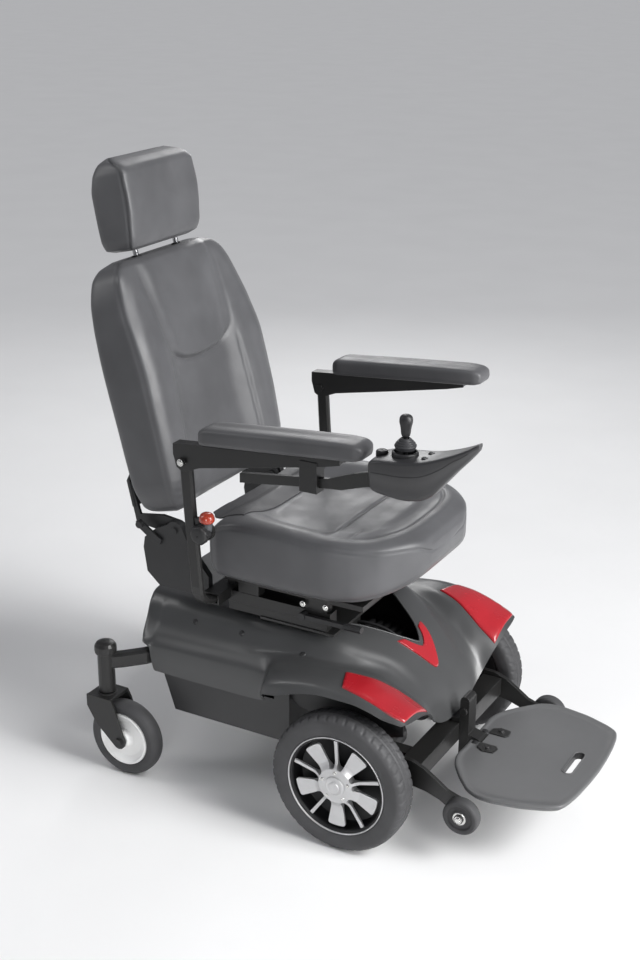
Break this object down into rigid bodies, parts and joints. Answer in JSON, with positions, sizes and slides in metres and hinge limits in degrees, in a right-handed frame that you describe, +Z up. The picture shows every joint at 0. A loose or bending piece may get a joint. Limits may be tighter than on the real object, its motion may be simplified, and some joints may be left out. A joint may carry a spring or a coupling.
{
  "type": "power wheelchair",
  "caption": "Powered wheelchair: contoured high-back seat with headrest, flip-up armrests, joystick, shrouded battery base with red trims, front drive wheels, rear casters, footplate.",
  "frame": {"origin": "middle of the whole chair's footprint on the ground", "axes": "+X the way the chair drives, +Y to the seated user's left, +Z up"},
  "size_m": [1.1682, 0.6593, 1.3468],
  "materials": {
    "frame_steel": "satin black powder coat",
    "shroud_plastic": "satin charcoal moulded plastic",
    "red_trim": "glossy deep red",
    "black_plastic": "fine-grained matte black",
    "battery_case": "matte",
    "vinyl": "satin charcoal grey vinyl with a soft sheen",
    "tyre": "dark grey rubber",
    "alloy": "painted silver cast wheel",
    "white_plastic": "white moulded caster rim",
    "zinc_steel": "bright zinc plate"
  },
  "bodies": {
    "base": {"base_frame": "frame_steel", "base_shroud": "shroud_plastic", "fender_trim_right": "red_trim", "fender_trim_left": "red_trim", "nose_trim": "red_trim", "battery_tray": "black_plastic", "battery_right": "battery_case", "battery_left": "battery_case", "gear_motor_right": "frame_steel", "gear_motor_left": "frame_steel", "motor_controller": "black_plastic", "footrest_hanger": "frame_steel", "antitip_arm_right": "frame_steel", "antitip_arm_left": "frame_steel", "seat_post": "frame_steel", "caster_arm_right": "frame_steel", "caster_arm_left": "frame_steel"},
    "drive_wheel_right": {"drive_tyre_right": "tyre", "drive_rim_right": "alloy", "drive_hub_right": "alloy"},
    "caster_right": {"caster_fork_right": "frame_steel"},
    "caster_wheel_right": {"caster_tyre_right": "tyre", "caster_rim_right": "white_plastic"},
    "antitip_right": {"antitip_wheel_right": "tyre"},
    "freewheel_right": {"freewheel_lever_right": "red_trim"},
    "drive_wheel_left": {"drive_tyre_left": "tyre", "drive_rim_left": "alloy", "drive_hub_left": "alloy"},
    "caster_left": {"caster_fork_left": "frame_steel"},
    "caster_wheel_left": {"caster_tyre_left": "tyre", "caster_rim_left": "white_plastic"},
    "antitip_left": {"antitip_wheel_left": "tyre"},
    "freewheel_left": {"freewheel_lever_left": "red_trim"},
    "footplate": {"footplate": "black_plastic"},
    "seat": {"seat_frame": "frame_steel", "seat_cushion": "vinyl", "recline_bracket_right": "black_plastic", "recline_bracket_left": "black_plastic"},
    "seat_lever": {"seat_slide_lever": "black_plastic"},
    "backrest": {"back_frame": "black_plastic", "back_cushion": "vinyl"},
    "recline_lever": {"recline_lever": "black_plastic"},
    "headrest": {"headrest_cushion": "vinyl", "headrest_post_right": "zinc_steel", "headrest_post_left": "zinc_steel"},
    "arm_upright_right": {"arm_post_right": "frame_steel"},
    "arm_knob_right": {"arm_knob_right": "black_plastic"},
    "armrest_right": {"arm_channel_right": "frame_steel", "arm_pad_right": "vinyl"},
    "arm_upright_left": {"arm_post_left": "frame_steel"},
    "arm_knob_left": {"arm_knob_left": "black_plastic"},
    "armrest_left": {"arm_channel_left": "frame_steel", "arm_pad_left": "vinyl"},
    "joystick": {"joystick_bar": "frame_steel", "joystick_pod": "black_plastic"},
    "joystick_gimbal": {"joystick_boot": "black_plastic"},
    "joystick_lever": {"joystick_stick": "black_plastic"},
    "power_button": {"power_button": "black_plastic"},
    "horn_button": {"horn_button": "black_plastic"},
    "speed_dial": {"speed_dial": "black_plastic"}
  },
  "joints": [
    {"name": "drive_wheel_right_spin", "type": "hinge", "parent": "base", "child": "drive_wheel_right", "pos_m": [0.1305, -0.2915, 0.153], "axis": [0, 1, 0], "continuous": true},
    {"name": "caster_right_swivel", "type": "hinge", "parent": "base", "child": "caster_right", "pos_m": [-0.4725, -0.282, 0.19], "axis": [0, 0, 1], "continuous": true},
    {"name": "caster_right_roll", "type": "hinge", "parent": "caster_right", "child": "caster_wheel_right", "pos_m": [-0.4225, -0.282, 0.089], "axis": [0, 1, 0], "continuous": true},
    {"name": "antitip_right_roll", "type": "hinge", "parent": "base", "child": "antitip_right", "pos_m": [0.3795, -0.242, 0.118], "axis": [0, 1, 0], "continuous": true},
    {"name": "freewheel_right_turn", "type": "hinge", "parent": "base", "child": "freewheel_right", "pos_m": [0.1835, -0.215, 0.165], "axis": [1, 0, 0], "range_deg": [0, 35]},
    {"name": "drive_wheel_left_spin", "type": "hinge", "parent": "base", "child": "drive_wheel_left", "pos_m": [0.1305, 0.2915, 0.153], "axis": [0, 1, 0], "continuous": true},
    {"name": "caster_left_swivel", "type": "hinge", "parent": "base", "child": "caster_left", "pos_m": [-0.4725, 0.282, 0.19], "axis": [0, 0, 1], "continuous": true},
    {"name": "caster_left_roll", "type": "hinge", "parent": "caster_left", "child": "caster_wheel_left", "pos_m": [-0.4225, 0.282, 0.089], "axis": [0, 1, 0], "continuous": true},
    {"name": "antitip_left_roll", "type": "hinge", "parent": "base", "child": "antitip_left", "pos_m": [0.3795, 0.242, 0.118], "axis": [0, 1, 0], "continuous": true},
    {"name": "freewheel_left_turn", "type": "hinge", "parent": "base", "child": "freewheel_left", "pos_m": [0.1835, 0.215, 0.165], "axis": [-1, 0, 0], "range_deg": [0, 35]},
    {"name": "footplate_flip", "type": "hinge", "parent": "base", "child": "footplate", "pos_m": [0.3115, 0, 0.149], "axis": [0, -1, 0], "range_deg": [0, 84]},
    {"name": "seat_slide", "type": "slide", "parent": "base", "child": "seat", "axis": [1, 0, 0], "range_m": [-0.04, 0.04]},
    {"name": "seat_lever_lift", "type": "hinge", "parent": "seat", "child": "seat_lever", "pos_m": [-0.0195, -0.195, 0.45], "axis": [0, -1, 0], "range_deg": [0, 10]},
    {"name": "backrest_recline", "type": "hinge", "parent": "seat", "child": "backrest", "pos_m": [-0.3245, 0, 0.585], "axis": [0, 1, 0], "range_deg": [-15, 45]},
    {"name": "recline_lever_turn", "type": "hinge", "parent": "seat", "child": "recline_lever", "pos_m": [-0.3655, -0.218, 0.556], "axis": [0, -1, 0], "range_deg": [0, 15]},
    {"name": "headrest_height", "type": "slide", "parent": "backrest", "child": "headrest", "axis": [-0.225, 0, 0.9744], "range_m": [0, 0.055]},
    {"name": "arm_right_width", "type": "slide", "parent": "seat", "child": "arm_upright_right", "axis": [0, -1, 0], "range_m": [0, 0.04]},
    {"name": "arm_knob_right_turn", "type": "hinge", "parent": "arm_upright_right", "child": "arm_knob_right", "pos_m": [-0.1965, -0.29, 0.639], "axis": [0, -1, 0], "continuous": true},
    {"name": "armrest_right_flip", "type": "hinge", "parent": "arm_upright_right", "child": "armrest_right", "pos_m": [-0.2405, -0.285, 0.786], "axis": [0, -1, 0], "range_deg": [0, 95]},
    {"name": "arm_left_width", "type": "slide", "parent": "seat", "child": "arm_upright_left", "axis": [0, 1, 0], "range_m": [0, 0.04]},
    {"name": "arm_knob_left_turn", "type": "hinge", "parent": "arm_upright_left", "child": "arm_knob_left", "pos_m": [-0.1965, 0.29, 0.639], "axis": [0, 1, 0], "continuous": true},
    {"name": "armrest_left_flip", "type": "hinge", "parent": "arm_upright_left", "child": "armrest_left", "pos_m": [-0.2405, 0.285, 0.786], "axis": [0, -1, 0], "range_deg": [0, 95]},
    {"name": "joystick_slide", "type": "slide", "parent": "armrest_right", "child": "joystick", "axis": [0.9923, 0, 0.124], "range_m": [0, 0.05]},
    {"name": "joystick_pitch", "type": "hinge", "parent": "joystick", "child": "joystick_gimbal", "pos_m": [0.252, -0.285, 0.905], "axis": [0, 1, 0], "range_deg": [-10, 10], "stiffness_Nm_per_rad": 0.3},
    {"name": "joystick_roll", "type": "hinge", "parent": "joystick_gimbal", "child": "joystick_lever", "pos_m": [0.252, -0.285, 0.905], "axis": [1, 0, 0], "range_deg": [-10, 10], "stiffness_Nm_per_rad": 0.3},
    {"name": "power_button_press", "type": "slide", "parent": "joystick", "child": "power_button", "axis": [0, 0, -1], "range_m": [0, 0.0015], "stiffness_N_per_m": 400, "springref_m": -0.0005},
    {"name": "horn_button_press", "type": "slide", "parent": "joystick", "child": "horn_button", "axis": [0, 0, -1], "range_m": [0, 0.0015], "stiffness_N_per_m": 400, "springref_m": -0.0005},
    {"name": "speed_dial_turn", "type": "hinge", "parent": "joystick", "child": "speed_dial", "pos_m": [0.2035, -0.285, 0.879], "axis": [0, 0, 1], "range_deg": [-140, 140]}
  ]
}
